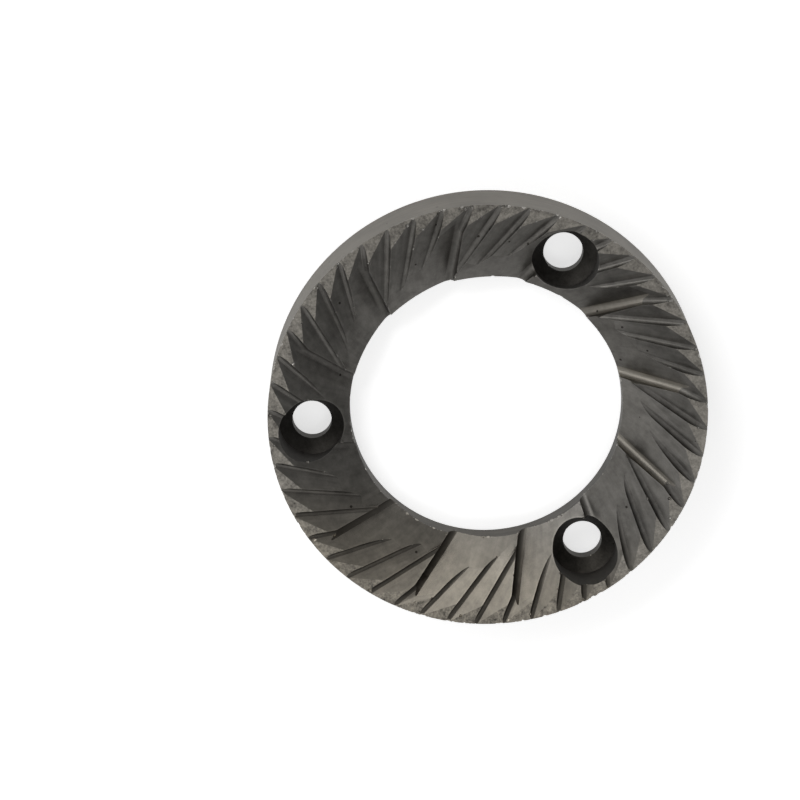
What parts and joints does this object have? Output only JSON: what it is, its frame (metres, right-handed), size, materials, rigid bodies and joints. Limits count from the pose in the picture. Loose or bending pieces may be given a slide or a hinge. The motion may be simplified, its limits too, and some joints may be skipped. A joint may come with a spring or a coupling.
{
  "type": "coffee grinder burr",
  "caption": "Flat steel burr ring with slanted finishing teeth on one face, deeper breaker grooves opening into its bore, and countersunk screw holes; grinds coffee against a matching burr.",
  "frame": {"origin": "centre of the flat back face, on the ring's axis", "axes": "+Z along the ring's axis, out of the toothed face; +X through the centre of one screw hole"},
  "size_m": [0.064, 0.064, 0.0095],
  "materials": {
    "burr_steel": "dull hardened tool steel, milled teeth, slightly worn edges"
  },
  "bodies": {
    "root": {"grinding_burr": "burr_steel"}
  },
  "joints": []
}
